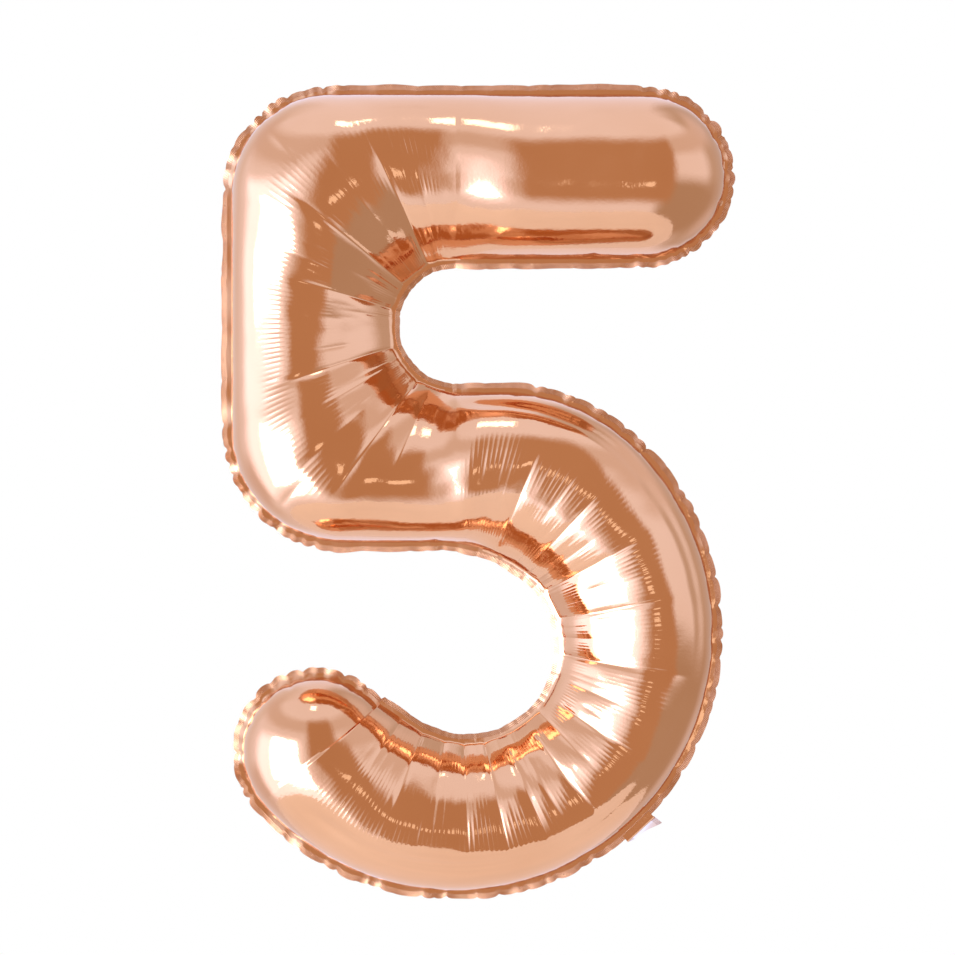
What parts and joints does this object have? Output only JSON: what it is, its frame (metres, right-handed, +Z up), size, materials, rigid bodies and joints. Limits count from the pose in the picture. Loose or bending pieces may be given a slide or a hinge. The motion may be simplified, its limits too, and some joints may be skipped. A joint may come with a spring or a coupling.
{
  "type": "foil number balloon",
  "caption": "Inflated foil balloon shaped as the numeral five, with a heat-sealed rim, a flat self-closing valve and a filling tail that folds back.",
  "frame": {"origin": "centre of the bounding box of the hanging figure, which is also the middle of the seal plane", "axes": "+Z up, along the figure's height; +X to the right of a person who reads the figure; +Y from the front panel to the back panel"},
  "size_m": [0.5419, 0.184, 0.86],
  "materials": {
    "foil": "mirror-bright metallised film lacquered rose gold, finely creased in the bends",
    "heat_seal": "fused sealing layer, glossy rose gold edge",
    "valve_film": "thin clear polyethylene, slightly milky"
  },
  "bodies": {
    "envelope": {"front_panel": "foil", "back_panel": "foil", "perimeter_seal": "heat_seal", "valve_front_ply": "valve_film", "valve_back_ply": "valve_film"},
    "tail": {"tail_front_film": "foil", "tail_back_film": "foil", "tail_left_seal": "heat_seal", "tail_right_seal": "heat_seal", "valve_front_lip": "valve_film", "valve_back_lip": "valve_film"}
  },
  "joints": [
    {"name": "tail_fold", "type": "hinge", "parent": "envelope", "child": "tail", "pos_m": [0.17011, 0, -0.35405], "axis": [0.7278, 0, 0.6858], "range_deg": [-188, 32]}
  ]
}
